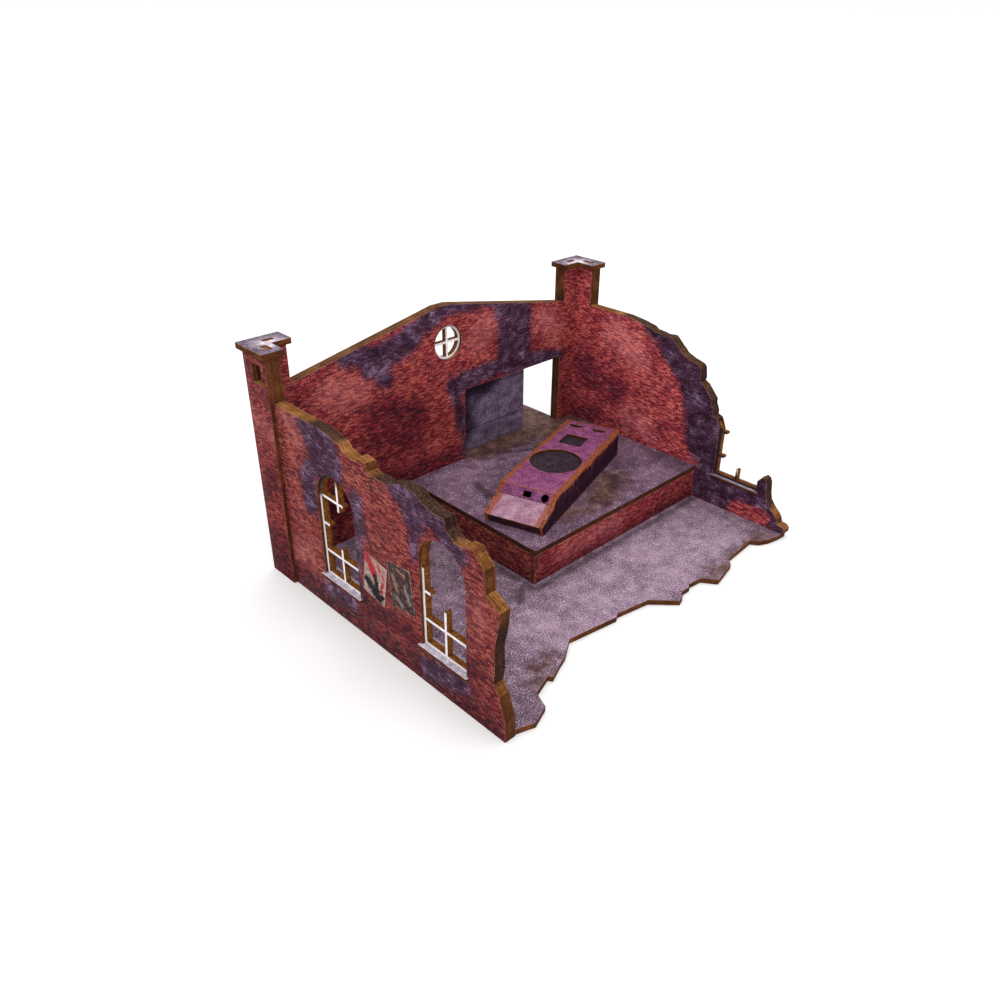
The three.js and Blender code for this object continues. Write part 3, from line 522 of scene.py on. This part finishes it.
def poster_paint(centre, lean, kind):
    """A worn abstract placard in its own upright axes; right is to the right seen from outside."""
    c, s = math.cos(math.radians(lean)), math.sin(math.radians(lean))

    def paint(g, place):
        _, y, z = g.split(place)
        dy, dz = g.math("SUBTRACT", y, centre[0]), g.math("SUBTRACT", z, centre[1])
        right = g.math("MULTIPLY", g.math("ADD", g.math("MULTIPLY", dy, c), g.math("MULTIPLY", dz, s)), -1.0)
        up = g.math("SUBTRACT", g.math("MULTIPLY", dz, c), g.math("MULTIPLY", dy, s))
        flat = g.join(right, up, 0.0)
        grain = g.noise(flat, 1.6, 4.0, 0.75)
        blot = g.noise(flat, 0.42, 5.0, 0.78)

        def patch(shapes, soft=0.7, ragged=3.0):
            return masked(g, flat, shapes, soft, ragged, 0.55)

        if kind == "rear":
            colour = g.ramp(g.weighted((blot, 0.8), (grain, 0.4)), (0.36, (0.075, 0.040, 0.040)),
                            (0.56, (0.260, 0.170, 0.150)), (0.78, (0.560, 0.450, 0.400)))
            colour = g.mix(patch([(-7, 10, -1, 3, 2.6), (2, 9, 6, 4, 0.8)]), colour, (0.330, 0.020, 0.026))
            colour = g.mix(patch([(5.5, 1, 5.2, -5, 1.0)]), colour, (0.300, 0.026, 0.030))
            colour = g.mix(patch([(-5, -4, 3, -9, 2.6), (0, 2, 2, -5, 1.5), (6.4, -7, 4, -9, 1.4)]), colour,
                           (0.014, 0.009, 0.012))
        else:
            colour = g.ramp(g.weighted((blot, 0.85), (grain, 0.4)), (0.50, (0.008, 0.005, 0.007)),
                            (0.66, (0.060, 0.030, 0.030)), (0.86, (0.330, 0.210, 0.180)))
            colour = g.mix(patch([(-5, 5, -3, -2, 0.9), (-1, 9, 4, 7, 0.7)]), colour, (0.260, 0.130, 0.085))
            colour = g.mix(patch([(3, 2, 5, -6, 0.8), (-4, -6, -1, -9, 0.9)]), colour, (0.200, 0.150, 0.160))
        rim = g.most(g.math("SUBTRACT", g.math("ABSOLUTE", right), POSTER_HALF_WIDE),
                     g.math("SUBTRACT", g.math("ABSOLUTE", up), POSTER_HALF_HIGH))
        torn = g.math("MULTIPLY", g.ease(rim, -0.65, -0.25), g.ease(blot, 0.40, 0.60))
        colour = g.mix(g.math("MULTIPLY", torn, 0.6), colour, (0.42, 0.30, 0.27))
        scuff = g.ease(g.noise(flat, 1.0, 5.0, 0.8), 0.60, 0.68)
        return g.mix(g.math("MULTIPLY", scuff, 0.35), colour, (0.34, 0.22, 0.20)), grain

    return paint


# The wreck's own axes: forward from its rear edge, left, up.
HULL_REAR = Vector((195.1, 124.9, 23.6))
HULL_TURN = math.radians(180 + 18.7)
HULL_FORWARD = Vector((math.cos(HULL_TURN), math.sin(HULL_TURN), 0.0))
HULL_LEFT = Vector((-math.sin(HULL_TURN), math.cos(HULL_TURN), 0.0))


HULL_HIGH = 16.5
PLATE_STEP = 4.6  # the rust creeps in from the long edges in steps of this length


def in_hull(g, place):
    """A place in the wreck's own axes: forward, left, up."""
    off = g.vector("SUBTRACT", place, HULL_REAR)
    forward = g.vector("DOT_PRODUCT", off, HULL_FORWARD)
    left = g.vector("DOT_PRODUCT", off, HULL_LEFT)
    return forward, left, g.split(off)[2]


def rust_step(g, along, row, kind):
    """A random number for each step along the wreck."""
    return g.random(g.join(g.math("FLOOR", g.math("DIVIDE", along, PLATE_STEP)), row, kind))


def hull_metal(g, flat, low, mid, high):
    """Blotchy old paint from dark to light."""
    cloud = g.noise(flat, 0.20, 5.0, 0.66)
    fine = g.noise(flat, 1.6, 4.0, 0.84)
    tone = g.weighted((cloud, 1.0), (fine, 2.4), plus=-1.2)
    return g.ramp(tone, (0.22, low), (0.50, mid), (0.80, high)), fine, cloud


def rust_colour(g, fine):
    return g.ramp(fine, (0.34, (0.070, 0.014, 0.010)), (0.50, (0.270, 0.062, 0.026)),
                  (0.66, (0.540, 0.180, 0.072)))


def deck_print(g, place):
    """The wreck's deck: purple paint, rusty along its edges."""
    u, v, _ = in_hull(g, place)
    flat = g.join(u, v, 0.0)
    colour, fine, cloud = hull_metal(g, flat, (0.075, 0.014, 0.050), (0.205, 0.048, 0.135),
                                     (0.400, 0.150, 0.290))
    step = rust_step(g, u, g.math("SIGN", v), 2.0)
    reach = g.weighted((g.math("ABSOLUTE", v), 1.0), (step, 1.5), (cloud, 2.6), plus=-1.3)
    rust = g.ease(reach, 14.9, 15.7)
    ends = g.most(g.ease(u, 2.2, 0.6), g.ease(u, 89.4, 90.6))
    stain = g.math("MULTIPLY", g.ease(g.noise(flat, 0.12, 5.0, 0.7), 0.58, 0.70), 0.55)
    return g.mix(g.most(rust, g.math("MULTIPLY", ends, 0.8), stain), colour, rust_colour(g, fine)), fine


def side_print(g, place):
    """The wreck's side: dark paint with rust running down from the top edge, darker towards the bottom."""
    u, _, z = in_hull(g, place)
    flat = g.join(u, z, 0.0)
    colour, fine, cloud = hull_metal(g, flat, (0.004, 0.001, 0.003), (0.016, 0.004, 0.011),
                                     (0.062, 0.018, 0.045))
    depth = g.weighted((z, -1.0), (rust_step(g, u, 7.0, 1.0), -1.6), plus=HULL_HIGH)
    band = g.ease(g.weighted((depth, 1.0), (cloud, 2.0), plus=-1.0), 2.0, 1.2)
    drip = g.noise(g.join(g.math("MULTIPLY", u, 0.75), g.math("MULTIPLY", z, 0.05), 4.0), 1.0, 3.0, 0.6)
    running = g.math("SUBTRACT", drip, g.math("MULTIPLY", depth, 0.028))
    drips = g.math("MULTIPLY", g.ease(running, 0.45, 0.55), 0.4)
    slope = g.ease(strokes(g, flat, [(92, 15.5, 96, 11.0, 1.3), (96, 11.2, 110, 6.2, 1.2)]), -0.6, 0.6)
    colour = g.mix(g.most(band, drips, g.math("MULTIPLY", slope, 0.9)), colour, rust_colour(g, fine))
    # Darker towards the bottom, over the lowest 5 mm.
    darker_towards_bottom = g.math("MULTIPLY", g.ease(z, 5.0, 0.0), 0.7)
    return g.mix(darker_towards_bottom, colour, (0.030, 0.014, 0.016)), fine


def rust_edge(g, place):
    """The wreck's cut edges: rust with darker spots."""
    fine = g.noise(place, 1.4, 4.0, 0.75)
    spots = g.ease(g.noise(place, 0.35, 3.0), 0.45, 0.65)
    return g.mix(spots, rust_colour(g, fine), (0.150, 0.050, 0.035)), fine


def front_print(g, place):
    """The steep plate under the deck: purple paint, rusty at both ends."""
    _, v, z = in_hull(g, place)
    flat = g.join(v, z, 0.0)
    colour, fine, cloud = hull_metal(g, flat, (0.070, 0.014, 0.052), (0.190, 0.048, 0.140),
                                     (0.360, 0.140, 0.280))
    ends = g.ease(g.weighted((g.math("ABSOLUTE", v), 1.0), (cloud, 4.0), plus=-2.0), 13.6, 14.6)
    return g.mix(ends, colour, rust_colour(g, fine)), fine


def nose_print(g, place):
    """The pale nose plate, rusty and chipped at both ends."""
    u, v, _ = in_hull(g, place)
    flat = g.join(u, v, 0.0)
    colour, fine, cloud = hull_metal(g, flat, (0.170, 0.060, 0.110), (0.350, 0.170, 0.250),
                                     (0.560, 0.380, 0.460))
    ends = g.ease(g.weighted((g.math("ABSOLUTE", v), 1.0), (cloud, 6.0), plus=-3.0), 12.2, 13.6)
    colour = g.mix(g.math("MULTIPLY", ends, 0.85), colour, rust_colour(g, fine))
    chips = g.math("MULTIPLY", ends, g.ease(fine, 0.60, 0.68))
    return g.mix(chips, colour, (0.62, 0.46, 0.38)), fine


def inner_shade_print(g, place):
    """Near-black inside the wreck: painted shade where little light gets in."""
    fine = g.noise(place, 1.8, 4.0, 0.75)
    cloud = g.noise(place, 0.3, 3.0, 0.6)
    tone = g.weighted((fine, 0.7), (cloud, 0.35))
    colour = g.ramp(tone, (0.34, (0.010, 0.006, 0.009)), (0.54, (0.032, 0.019, 0.028)),
                    (0.75, (0.110, 0.080, 0.105)))
    return colour, fine


# ---------------------------------------------------------------------------------------------
# Materials of sheets
# ---------------------------------------------------------------------------------------------
PER_METRE = 1000.0
SPECULAR = 0.05
EDGE_ROUGH, EDGE_BUMP = 0.82, 0.25
PRINT_ROUGH = (0.50, 0.72)
BROWN_ARRIS = (0.34, 0.17, 0.14)
BUMP_DEPTH = 0.06


def plan_place(g):
    """The surface point in plan millimetres, riding with its piece."""
    here = g.add("ShaderNodeTexCoord").outputs["Object"]
    return g.vector("ADD", g.vector("SCALE", here, PER_METRE), PLAN_ORIGIN)


def shader(name):
    material = bpy.data.materials.new(name)
    material.use_nodes = True
    g = Graph(material.node_tree)
    surface = next(n for n in g.tree.nodes if n.type == "BSDF_PRINCIPLED")
    return material, g, surface


def finish_surface(g, surface, colour, height, rough, bump=0.12):
    g.put(surface.inputs["Base Color"], colour)
    g.put(surface.inputs["Roughness"], rough)
    surface.inputs["Specular IOR Level"].default_value = SPECULAR
    node = g.add("ShaderNodeBump")
    node.inputs["Strength"].default_value = bump
    node.inputs["Distance"].default_value = BUMP_DEPTH * MM
    g.put(node.inputs["Height"], height)
    g.put(surface.inputs["Normal"], node.outputs[0])


def depth_range(node, direction):
    """How far a piece's box reaches along a direction, in plan millimetres."""
    reach_x, reach_y, reach_z = zip(*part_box(node))
    corners = [Vector((x, y, z)) for x in reach_x for y in reach_y for z in reach_z]
    depths = [(corner * PER_METRE + PLAN_ORIGIN).dot(direction) for corner in corners]
    return min(depths), max(depths)


def cut_edge(g, place, normal, node, direction, char):
    """Brown cut board, burnt by char, which is (the axis it is seen along, strokes, how much)."""
    across = g.remap(g.vector("DOT_PRODUCT", place, direction), *depth_range(node, direction), 0.0, 1.0)
    burnt = 0.0
    if char:
        axis, shapes, most = char
        seen = [part for index, part in enumerate(g.split(place)) if index != axis]
        burnt = g.math("MULTIPLY", masked(g, g.join(*seen), shapes, 3.0, 3.0), most)
    out = g.group(BOARD_EDGE, P=place, Across=across, Up=g.split(normal)[2], Char=burnt)
    return out["Colour"], out["Height"]


def sheet_material(node, direction, paint, both=False, arris=BROWN_ARRIS, edge_paint=None, char=None):
    """A board sheet printed on the side that direction points to, and cut brown everywhere else."""
    material, g, surface = shader(node)
    place = plan_place(g)
    normal = g.add("ShaderNodeNewGeometry").outputs["True Normal"]
    facing = g.vector("DOT_PRODUCT", normal, direction)
    if both:
        facing = g.math("ABSOLUTE", facing)
    if edge_paint:
        edge, edge_height = edge_paint(g, place)
    else:
        edge, edge_height = cut_edge(g, place, normal, node, direction, char)
    if paint is None:
        finish_surface(g, surface, edge, edge_height, EDGE_ROUGH, EDGE_BUMP)
        return material
    colour, height = paint(g, place)
    printed = g.ease(facing, 0.62, 0.80)
    worn = g.math("MULTIPLY", g.math("MULTIPLY", g.ease(facing, 0.12, 0.4), g.ease(facing, 0.995, 0.90)),
                  g.ease(g.noise(place, 0.35, 4.0, 0.7), 0.38, 0.58))
    base = g.mix(printed, edge, colour)
    base = g.mix(g.math("MULTIPLY", worn, 0.7), base, arris)
    print_rough = g.remap(g.noise(place, 0.4, 3.0, 0.6), 0.35, 0.65, *PRINT_ROUGH)
    rough = g.math("MULTIPLY_ADD", printed, g.math("SUBTRACT", print_rough, EDGE_ROUGH), EDGE_ROUGH)
    finish_surface(g, surface, base, g.math("MULTIPLY_ADD", height, printed, edge_height), rough)
    return material


LEFT, RIGHT = Vector((-1, 0, 0)), Vector((1, 0, 0))
FRONT, BACK, UP = Vector((0, -1, 0)), Vector((0, 1, 0)), Vector((0, 0, 1))


PILLAR_DARK = [(150, 6, 185, 6, 22), (165, 60, 172, 50, 5)]
LEFT_TINT, RIGHT_TINT, PILLAR_TINT = (0.76, 0.88, 0.82), (1.56, 1.62, 1.74), (0.70, 0.64, 0.64)
# Burnt stretches of the cut edges: the axis they are seen along, strokes, how much.
LEFT_CHAR = dict(char=(0, [(124, 103, 112, 97, 5), (74, 94, 52, 97, 8), (50, 94, 34, 88, 7),
                           (6, 56, 6, 28, 2)], 1.0))
RIGHT_CHAR = dict(char=(0, [(126, 102, 92, 95, 6), (90, 92, 72, 78, 8), (70, 76, 56, 56, 9),
                            (55, 50, 56, 22, 5), (24, 34, 18, 20, 5)], 0.9))
BACK_CHAR = dict(char=(1, [(0, 104, 115, 122, 5), (115, 122, 230, 104, 5), (130, 66, 130, 24, 3),
                           (128, 69, 212, 69, 3), (211, 66, 211, 24, 2)], 0.5))
PLATFORM_RIM = [(80, 64, 232, 64, 8), (84, 60, 84, 170, 8)]
STEEP = (HULL_FORWARD * 0.7475 + UP * 0.664).normalized()
GLACIS = (HULL_FORWARD * 0.344 + UP * 0.939).normalized()
GREY_ARRIS, RUST_ARRIS, PALE_ARRIS = (0.42, 0.37, 0.42), (0.50, 0.20, 0.09), (0.55, 0.47, 0.42)
LOOKS = {
    "left_wall_outer_skin": (LEFT, bricks(0, LEFT_SOOT, LEFT_PALE, LEFT_DARK, seed=1, tint=LEFT_TINT),
                             LEFT_CHAR),
    "left_wall_core": (LEFT, None, LEFT_CHAR),
    "left_wall_inner_skin": (RIGHT, bricks(0, LEFT_SOOT[:10], LEFT_PALE, LEFT_DARK, seed=2), LEFT_CHAR),
    "right_wall_inner_skin": (LEFT, bricks(0, RIGHT_SOOT, RIGHT_PALE, RIGHT_DARK, RIGHT_RED, 3, RIGHT_TINT),
                              RIGHT_CHAR),
    "right_wall_core": (LEFT, None, RIGHT_CHAR),
    "right_wall_outer_skin": (RIGHT, bricks(0, RIGHT_SOOT, RIGHT_PALE, RIGHT_DARK, RIGHT_RED, seed=4),
                              RIGHT_CHAR),
    "back_wall_inner_skin": (FRONT, bricks(1, BACK_SOOT, BACK_PALE, BACK_DARK, seed=5), BACK_CHAR),
    "back_wall_core": (FRONT, None, BACK_CHAR),
    "back_wall_outer_skin": (BACK, bricks(1, BACK_OUTER_SOOT, BACK_PALE, BACK_DARK, seed=6), BACK_CHAR),
    "left_pillar_side_panel": (LEFT, bricks(0, (), [(176, 90, 160, 84, 5)], PILLAR_DARK, seed=7,
                                            tint=PILLAR_TINT)),
    "right_pillar_side_panel": (RIGHT, bricks(0, (), [(176, 70, 160, 60, 5)], PILLAR_DARK, seed=8)),
    "left_pillar_back_panel": (BACK, bricks(1, (), (), [(0, 6, 20, 6, 16)], seed=9)),
    "right_pillar_back_panel": (BACK, bricks(1, (), (), [(210, 6, 232, 6, 16)], seed=10)),
    "platform_front_panel": (FRONT, bricks(1, (), [(110, 12, 150, 14, 5)], [(90, 3, 224, 3, 3)], seed=11,
                                           tint=(0.78, 0.74, 0.80))),
    "platform_side_panel": (LEFT, bricks(0, (), (), [(70, 3, 165, 3, 3)], seed=12, tint=(0.72, 0.90, 0.80))),
    "platform_long_rib": (FRONT, None),
    "platform_cross_rib": (LEFT, None),
    "dock_outer_panel": (BACK, bricks(1, (), (), [(125, 3, 215, 3, 3)], seed=13)),
    "dock_left_panel": (LEFT, bricks(0, (), (), [(175, 3, 208, 3, 3)], seed=14)),
    "dock_right_panel": (RIGHT, bricks(0, (), (), [(175, 3, 208, 3, 3)], seed=15)),
    "floor_plate": (UP, FLOOR, dict(arris=(0.20, 0.12, 0.10))),
    "platform_top": (UP, PLATFORM, dict(arris=(0.13, 0.06, 0.05), char=(2, PLATFORM_RIM, 0.6))),
    "dock_top": (UP, DOCK, dict(arris=(0.16, 0.09, 0.08))),
    "left_pillar_cap": (UP, cap_paint(False), dict(arris=(0.40, 0.30, 0.26))),
    "right_pillar_cap": (UP, cap_paint(True), dict(arris=(0.40, 0.30, 0.26))),
    "sliding_door": (FRONT, door_print, dict(both=True, arris=GREY_ARRIS)),
    "door_rail_spacer": (BACK, None),
    "door_rail_cover": (BACK, door_print, dict(arris=GREY_ARRIS)),
    "door_lower_ledge": (UP, None),
    "door_lower_guide": (BACK, door_print, dict(arris=GREY_ARRIS)),
    "round_window_frame": (FRONT, frame_paint(), dict(both=True, arris=PALE_ARRIS, edge_paint=frame_edge)),
    "rear_poster": (LEFT, poster_paint((85.0, 38.9), 9.5, "rear"), dict(arris=(0.20, 0.12, 0.11))),
    "front_poster": (LEFT, poster_paint((65.6, 43.9), -6.5, "front"), dict(arris=(0.20, 0.12, 0.11))),
    "hull_deck": (UP, deck_print, dict(arris=RUST_ARRIS)),
    # Inside the wreck: painted shade.
    "hull_sub_deck": (UP, inner_shade_print),
    "hull_front_plate": (STEEP, front_print, dict(arris=RUST_ARRIS)),
    "hull_nose_plate": (GLACIS, nose_print, dict(arris=(0.62, 0.42, 0.34))),
    "hull_lower_front_plate": (HULL_FORWARD, side_print, dict(arris=(0.10, 0.04, 0.05))),
    "hull_rear_plate": (-HULL_FORWARD, side_print, dict(arris=RUST_ARRIS)),
    "hull_left_side": (HULL_LEFT, side_print, dict(arris=RUST_ARRIS, edge_paint=rust_edge)),
    "hull_right_side": (-HULL_LEFT, side_print, dict(arris=RUST_ARRIS, edge_paint=rust_edge)),
    # Inside the wreck: painted shade.
    "hull_belly_plate": (UP, inner_shade_print),
}
SMOKED = {
    "left_rear_window": [(98, 68, 101, 75, 4), (101, 76, 113, 81, 5), (113, 81, 125, 76, 5),
                         (126, 75, 128, 68, 3.5)],
    "left_front_window": [(52, 78, 40, 80, 4), (53, 66, 52, 74, 3)],
    "right_window": [(56, 60, 56, 20, 8), (50, 20, 24, 22, 8)],
}
for window, smoke in SMOKED.items():
    LOOKS[window + "_frame"] = (LEFT, frame_paint(smoke),
                                dict(both=True, arris=PALE_ARRIS, edge_paint=frame_edge))
    LOOKS[window + "_outer_sill"] = (UP, sill_paint(1.0), dict(arris=(0.74, 0.70, 0.72)))
    LOOKS[window + "_inner_sill"] = (UP, sill_paint(0.55), dict(arris=(0.30, 0.24, 0.24)))


# ---------------------------------------------------------------------------------------------
# Pieces: each sheet with its cut edges broken very slightly
# ---------------------------------------------------------------------------------------------
# How far the arrises are rounded, by a word in the node's name. A frame's arrises stay as cut.
EDGE_ROUND = {"poster": 0.03, "frame": 0.0, "sill": 0.12, "hull": 0.10, "platform": 0.15, "wall": 0.14}
OTHER_ROUND = 0.2
SAME_POINT = 0.002
FLAT_ANGLE, ARRIS_ANGLE = math.radians(0.4), math.radians(25)


def softened(node):
    """A copy of the CAD sheet with flat faces made whole and its arrises rounded."""
    source = frame["nodes"][node]
    shape = bmesh.new()
    shape.from_mesh(source.data)
    bmesh.ops.remove_doubles(shape, verts=shape.verts, dist=SAME_POINT * MM)
    width = next((w for key, w in EDGE_ROUND.items() if key in node), OTHER_ROUND)
    if width:
        bmesh.ops.dissolve_limit(shape, angle_limit=FLAT_ANGLE, verts=shape.verts, edges=shape.edges)
    mesh = bpy.data.meshes.new(node + "_sheet")
    shape.to_mesh(mesh)
    shape.free()
    for face in mesh.polygons:
        face.use_smooth = width > 0
    piece = bpy.data.objects.new(node + "_sheet", mesh)
    bpy.context.scene.collection.objects.link(piece)
    if not width:
        return piece
    bevel = piece.modifiers.new("arris", "BEVEL")
    bevel.width = width * MM
    bevel.segments = 2
    bevel.limit_method = "ANGLE"
    bevel.angle_limit = ARRIS_ANGLE
    bevel.use_clamp_overlap = True
    bevel.harden_normals = True
    return piece


for node in frame["nodes"]:
    direction, paint, *extra = LOOKS[node]
    piece = softened(node)
    piece.data.materials.append(sheet_material(node, direction, paint, **(extra[0] if extra else {})))
    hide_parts(node)
    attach(piece, BODY_OF[node])


# ---------------------------------------------------------------------------------------------
# Stage, light and camera
# ---------------------------------------------------------------------------------------------
FLOOR_HALF = 60.0
FLOOR_CLEARANCE = 0.0001


def stage_floor():
    mesh = bpy.data.meshes.new("studio_floor")
    corners = [(x * FLOOR_HALF, y * FLOOR_HALF, 0) for x, y in ((-1, -1), (1, -1), (1, 1), (-1, 1))]
    mesh.from_pydata(corners, [], [(0, 1, 2, 3)])
    floor = bpy.data.objects.new("studio_floor", mesh)
    floor.location.z = -FLOOR_CLEARANCE
    bpy.context.scene.collection.objects.link(floor)
    material, g, surface = shader("studio_floor")
    cloud = g.noise(g.add("ShaderNodeTexCoord").outputs["Object"], 3.0, 2.0)
    tint = g.mix(cloud, (0.90, 0.90, 0.90), (0.93, 0.93, 0.93))
    g.put(surface.inputs["Base Color"], tint)
    surface.inputs["Roughness"].default_value = 0.9
    floor.data.materials.append(material)


def sun(name, heading, height, strength, angle, colour=(1.0, 1.0, 1.0)):
    """A softbox far away: heading is where it stands, in degrees from +X, height is above the horizon."""
    data = bpy.data.lights.new(name, "SUN")
    data.energy = strength
    data.angle = math.radians(angle)
    data.color = colour
    light = bpy.data.objects.new(name, data)
    a, h = math.radians(heading), math.radians(height)
    back = Vector((math.cos(a) * math.cos(h), math.sin(a) * math.cos(h), math.sin(h)))
    light.location = back
    light.rotation_mode = "QUATERNION"
    light.rotation_quaternion = (-back).to_track_quat("-Z", "Y")
    bpy.context.scene.collection.objects.link(light)


stage_floor()
sun("key", 232, 50, 1.0, 32, (1.0, 0.985, 0.96))
sun("top", 40, 78, 0.35, 50)

world = bpy.data.worlds.new("studio")
world.use_nodes = True
world.node_tree.nodes["Background"].inputs[0].default_value = (1.0, 1.0, 1.0, 1.0)
world.node_tree.nodes["Background"].inputs[1].default_value = 1.0
bpy.context.scene.world = world
bpy.context.scene.view_settings.view_transform = "Standard"
bpy.context.scene.view_settings.look = "None"

# The camera stands off the front left corner and looks down into the room.
CAMERA_PLACE = Vector((-0.2963, -0.2873, 0.2649))
CAMERA_TURN, CAMERA_DIP, CAMERA_ROLL = 43.83, 29.93, 0.37
yaw, pitch, roll = (math.radians(angle) for angle in (CAMERA_TURN, CAMERA_DIP, CAMERA_ROLL))
forward = Vector((math.sin(yaw) * math.cos(pitch), math.cos(yaw) * math.cos(pitch), -math.sin(pitch)))
across = Vector((math.cos(yaw), -math.sin(yaw), 0.0))
above = across.cross(forward)
right = across * math.cos(roll) + above * math.sin(roll)
top = above * math.cos(roll) - across * math.sin(roll)
camera_data = bpy.data.cameras.new("camera")
camera_data.sensor_width = 36.0
camera_data.lens = 31.09
camera_data.clip_start = 0.01
camera = bpy.data.objects.new("camera", camera_data)
camera.matrix_world = Matrix.Translation(CAMERA_PLACE) @ Matrix((right, top, -forward)).transposed().to_4x4()
bpy.context.scene.collection.objects.link(camera)
bpy.context.scene.camera = camera
